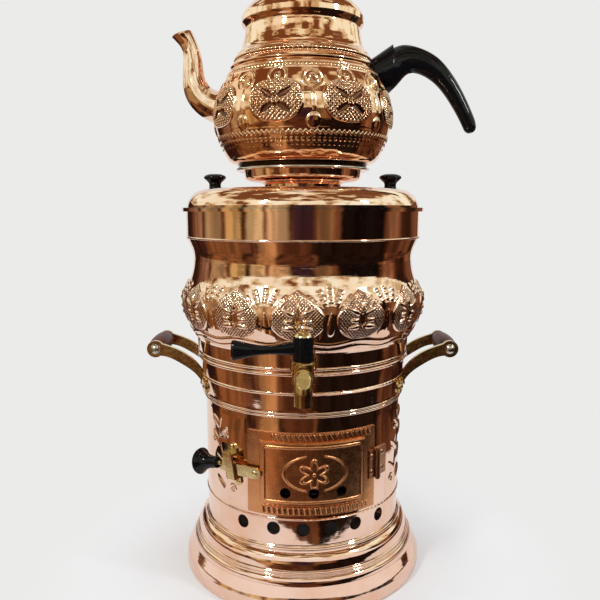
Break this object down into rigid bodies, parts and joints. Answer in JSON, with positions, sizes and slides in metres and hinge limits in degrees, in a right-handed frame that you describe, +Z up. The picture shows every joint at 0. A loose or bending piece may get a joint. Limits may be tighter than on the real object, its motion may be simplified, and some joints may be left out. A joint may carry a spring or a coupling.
{
  "type": "samovar",
  "caption": "Charcoal-heated copper samovar with fire door, sliding bolt, tap, side handles and a teapot on its chimney stand",
  "frame": {"origin": "on the samovar's vertical axis, in the plane of the foot's underside", "axes": "+Z up along the flue, -Y to the tap and the fire door, +X to the side of the teapot's handle"},
  "size_m": [0.2948, 0.2558, 0.55],
  "materials": {
    "copper": "polished hand-worked copper sheet",
    "brass": "polished cast brass",
    "cast_iron": "rough, sooty",
    "steel": "plated, slotted domed heads",
    "black_resin": "glossy black moulded resin",
    "dark_wood": "lacquered dark red-brown turned wood",
    "fibre": "dull red fibre sealing washers"
  },
  "bodies": {
    "samovar": {"base_skirt": "copper", "fire_grate": "cast_iron", "fire_wall": "copper", "fire_tube": "copper", "hinge_leaf_wall": "copper", "hinge_pin": "brass", "hinge_rivets_wall": "copper", "bolt_keeper": "brass", "keeper_rivets": "brass", "tank_shell": "copper", "tank_floor": "copper", "tap_body": "brass", "tap_washer_outer": "fibre", "tap_washer_inner": "fibre", "tap_nut": "brass", "handle_arm_front_right": "brass", "handle_arm_back_right": "brass", "handle_arm_front_left": "brass", "handle_arm_back_left": "brass", "handle_grip_right": "dark_wood", "handle_grip_left": "dark_wood", "grip_bolt_right": "steel", "grip_bolt_left": "steel", "handle_rivets_right": "copper", "handle_rivets_left": "copper"},
    "door": {"door_plate": "copper", "hinge_leaf_door": "copper", "hinge_rivets_door": "copper"},
    "door_bolt": {"bolt_strap": "brass", "bolt_stop_rivet": "brass", "bolt_knob": "black_resin"},
    "tap_key": {"tap_plug": "brass", "tap_plug_nut": "brass", "tap_lever": "black_resin", "tap_cap": "brass"},
    "lid": {"lid": "copper", "lid_knob_right": "black_resin", "lid_knob_left": "black_resin", "lid_knob_screws": "brass"},
    "pot_stand": {"pot_stand": "copper"},
    "teapot": {"pot_shell": "copper", "pot_spout": "copper", "pot_strainer": "copper", "pot_handle_socket": "black_resin", "pot_handle": "black_resin", "pot_handle_screw": "brass"},
    "teapot_lid": {"pot_lid": "copper", "pot_lid_collar": "copper", "pot_lid_knob": "black_resin", "pot_lid_screw": "brass"}
  },
  "joints": [
    {"name": "door_open", "type": "hinge", "parent": "samovar", "child": "door", "pos_m": [0.06334, -0.06864, 0.11375], "axis": [0, 0, 1], "range_deg": [0, 110]},
    {"name": "bolt_draw", "type": "hinge", "parent": "samovar", "child": "door_bolt", "pos_m": [0, 0, 0.112], "axis": [0, 0, -1], "range_deg": [0, 10.5]},
    {"name": "tap_turn", "type": "hinge", "parent": "samovar", "child": "tap_key", "pos_m": [0, -0.1211, 0.207], "axis": [0, 0, 1], "range_deg": [0, 90]},
    {"name": "lid_lift", "type": "slide", "parent": "samovar", "child": "lid", "axis": [0, 0, 1], "range_m": [0, 0.06]},
    {"name": "stand_lift", "type": "slide", "parent": "lid", "child": "pot_stand", "axis": [0, 0, 1], "range_m": [0, 0.04]},
    {"name": "teapot_lift", "type": "slide", "parent": "pot_stand", "child": "teapot", "axis": [0, 0, 1], "range_m": [0, 0.08]},
    {"name": "teapot_lid_lift", "type": "slide", "parent": "teapot", "child": "teapot_lid", "axis": [0, 0, 1], "range_m": [0, 0.05]}
  ]
}
